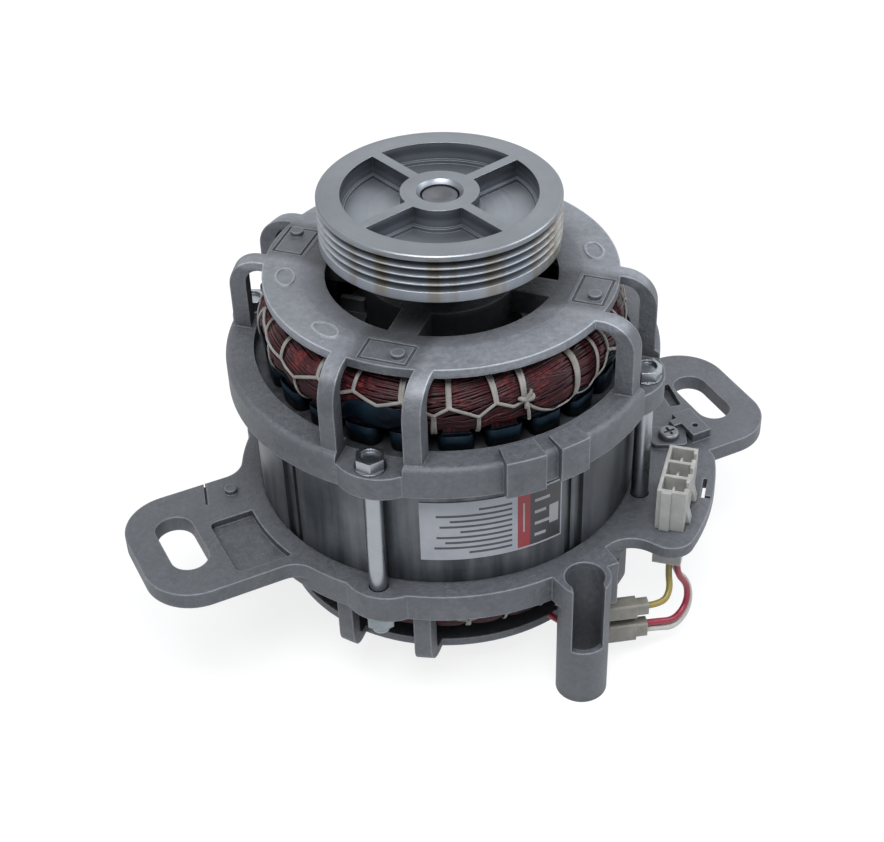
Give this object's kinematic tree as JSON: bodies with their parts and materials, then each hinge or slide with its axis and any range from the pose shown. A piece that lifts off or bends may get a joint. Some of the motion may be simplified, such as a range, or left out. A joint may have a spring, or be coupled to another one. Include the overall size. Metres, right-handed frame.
{
  "type": "washing machine motor",
  "caption": "Open-frame induction motor with a ribbed-belt pulley, cast end brackets, slotted mounting ears, a pivot sleeve and a plug-in connector.",
  "frame": {"origin": "on the shaft axis, in the plane of the upper faces of the two mounting ears", "axes": "+Z along the shaft to the pulley, +X to the right-hand ear, connector and pivot sleeve on the -Y side"},
  "size_m": [0.1892, 0.131, 0.1302],
  "materials": {
    "die_cast_aluminium": "as-cast, dull grey, light shot-blast grain",
    "turned_aluminium": "turned, with fine lathe lines",
    "core_steel": "stacked laminations, thin dark varnish",
    "slot_insulation": "dark blue insulation film",
    "enamelled_copper": "red-brown enamelled and varnished wire",
    "lacing_cord": "off-white flat lacing cord",
    "zinc_plated_steel": "bright zinc plate",
    "label_film": "printed film, plain fields",
    "protector_case": "tin-plated case in a clear sleeve",
    "white_nylon": "moulded natural nylon, slightly warm white",
    "tinned_contact": "tin-plated brass",
    "cover_nylon": "translucent natural nylon",
    "yellow_insulation": "yellow lead insulation",
    "red_insulation": "red lead insulation",
    "white_insulation": "off-white lead insulation",
    "ground_steel": "ground shaft steel",
    "rotor_steel": "turned laminated stack",
    "cast_rotor_aluminium": "pressure-cast aluminium",
    "bearing_steel": "ground and polished bearing steel",
    "cage_nylon": "glass-filled nylon",
    "shield_steel": "pressed steel",
    "spring_steel": "hardened spring steel"
  },
  "bodies": {
    "stator": {"upper_bracket": "die_cast_aluminium", "lower_bracket": "die_cast_aluminium", "stator_core": "core_steel", "slot_liners": "slot_insulation", "slot_conductors": "enamelled_copper", "upper_end_winding": "enamelled_copper", "lower_end_winding": "enamelled_copper", "upper_lacing": "lacing_cord", "lower_lacing": "lacing_cord", "through_bolts": "zinc_plated_steel", "bolt_washers": "zinc_plated_steel", "bolt_nuts": "zinc_plated_steel", "ground_screw": "zinc_plated_steel", "rating_label": "label_film", "thermal_protector": "protector_case", "connector_housing": "white_nylon", "connector_contacts": "tinned_contact", "yellow_terminal_cover": "cover_nylon", "red_terminal_cover": "cover_nylon", "yellow_lead": "yellow_insulation", "red_lead": "red_insulation", "white_lead": "white_insulation", "upper_tail_lead": "white_insulation", "lower_tail_lead": "red_insulation", "preload_washer": "spring_steel", "upper_bearing_outer_ring": "bearing_steel", "upper_bearing_shields": "shield_steel", "lower_bearing_outer_ring": "bearing_steel", "lower_bearing_shields": "shield_steel"},
    "rotor": {"shaft": "ground_steel", "rotor_core": "rotor_steel", "rotor_cage": "cast_rotor_aluminium", "pulley": "turned_aluminium", "upper_bearing_inner_ring": "bearing_steel", "lower_bearing_inner_ring": "bearing_steel"},
    "upper_ball_train": {"upper_bearing_balls": "bearing_steel", "upper_bearing_cage": "cage_nylon"},
    "lower_ball_train": {"lower_bearing_balls": "bearing_steel", "lower_bearing_cage": "cage_nylon"}
  },
  "joints": [
    {"name": "rotor_spin", "type": "hinge", "parent": "stator", "child": "rotor", "pos_m": [0, 0, 0], "axis": [0, 0, 1], "continuous": true},
    {"name": "upper_ball_train_spin", "type": "hinge", "parent": "stator", "child": "upper_ball_train", "pos_m": [0, 0, 0.057], "axis": [0, 0, 1], "continuous": true},
    {"name": "lower_ball_train_spin", "type": "hinge", "parent": "stator", "child": "lower_ball_train", "pos_m": [0, 0, -0.0215], "axis": [0, 0, 1], "continuous": true}
  ],
  "couplings": [
    {"joint": "upper_ball_train_spin", "follows": "rotor_spin", "ratio": 0.3812},
    {"joint": "lower_ball_train_spin", "follows": "rotor_spin", "ratio": 0.3812}
  ]
}
